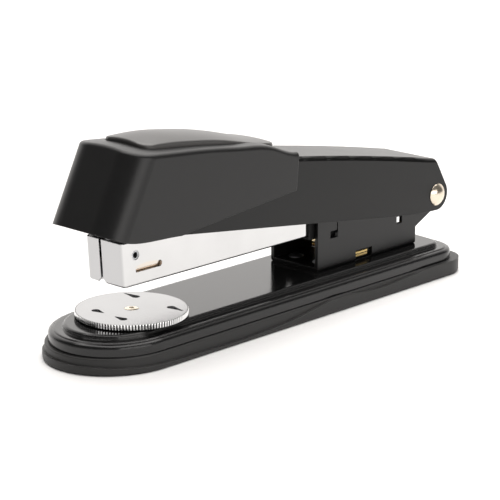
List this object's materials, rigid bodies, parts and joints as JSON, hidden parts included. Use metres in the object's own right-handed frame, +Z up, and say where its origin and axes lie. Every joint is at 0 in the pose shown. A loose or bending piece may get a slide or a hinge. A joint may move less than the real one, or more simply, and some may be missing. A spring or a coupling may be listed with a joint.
{
  "type": "stapler",
  "caption": "Free-standing metal desk stapler with a turning anvil, spring-held magazine, hinged handle cover and a nose cap with an inset pad.",
  "frame": {"origin": "middle of the underside of the base, on the table", "axes": "+Z up, the nose points towards -X, the hinge axis runs along Y"},
  "size_m": [0.1572, 0.0398, 0.0617],
  "materials": {
    "shoe_plastic": "matt black moulded edge",
    "plate_enamel": "gloss black enamel",
    "anvil_chrome": "satin chrome, knurled rim",
    "magazine_chrome": "bright chrome",
    "black_steel": "satin black lacquer",
    "cap_plastic": "satin black moulding",
    "pad_plastic": "fine matt black",
    "washer_plastic": "natural nylon",
    "pusher_plastic": "black moulding",
    "nickel": "nickel plated",
    "zinc_steel": "bright zinc",
    "spring_steel": "oiled spring steel",
    "rail_steel": "plain rolled steel",
    "yellow_zinc": "yellow passivated zinc",
    "staple_wire": "galvanised wire"
  },
  "bodies": {
    "base": {"base_shoe": "shoe_plastic", "base_plate": "plate_enamel", "base_screws": "zinc_steel", "base_nuts": "zinc_steel", "anvil_spring_washer": "spring_steel", "bracket": "black_steel", "bracket_rivets": "zinc_steel", "return_spring": "yellow_zinc", "return_spring_rivet": "zinc_steel", "pivot_pin": "nickel", "pivot_washers": "washer_plastic"},
    "anvil": {"anvil_disc": "anvil_chrome", "anvil_rivet": "nickel", "anvil_retaining_washer": "zinc_steel"},
    "magazine": {"magazine_channel": "magazine_chrome", "magazine_front_pin": "magazine_chrome", "magazine_carrier": "black_steel", "carrier_rivets": "zinc_steel", "staple_rail": "rail_steel", "staple_strip": "staple_wire", "pusher_rod": "rail_steel", "rod_retainer": "rail_steel", "pusher_spring": "spring_steel", "pivot_sleeve": "zinc_steel", "handle_spring": "spring_steel"},
    "pusher": {"pusher": "pusher_plastic"},
    "handle": {"handle_cover": "black_steel", "nose_cap": "cap_plastic", "top_pad": "pad_plastic", "cap_screws": "zinc_steel", "driver_blade": "spring_steel", "driver_holder": "rail_steel", "driver_rivets": "zinc_steel"}
  },
  "joints": [
    {"name": "magazine_press", "type": "hinge", "parent": "base", "child": "magazine", "pos_m": [0.07085, 0, 0.0245], "axis": [0, 1, 0], "range_deg": [-3.85, 0], "stiffness_Nm_per_rad": 3, "springref_deg": 2.86, "deforming": ["return_spring"]},
    {"name": "handle_press", "type": "hinge", "parent": "magazine", "child": "handle", "pos_m": [0.07085, 0, 0.0245], "axis": [0, 1, 0], "range_deg": [-5, 75], "stiffness_Nm_per_rad": 1, "springref_deg": 2.29, "deforming": ["handle_spring"]},
    {"name": "anvil_turn", "type": "hinge", "parent": "base", "child": "anvil", "pos_m": [-0.05115, 0, 0.011], "axis": [0, 0, 1], "continuous": true},
    {"name": "pusher_slide", "type": "slide", "parent": "magazine", "child": "pusher", "axis": [1, 0, 0], "range_m": [0, 0.034], "stiffness_N_per_m": 60, "springref_m": -0.03, "deforming": ["pusher_spring"]}
  ]
}
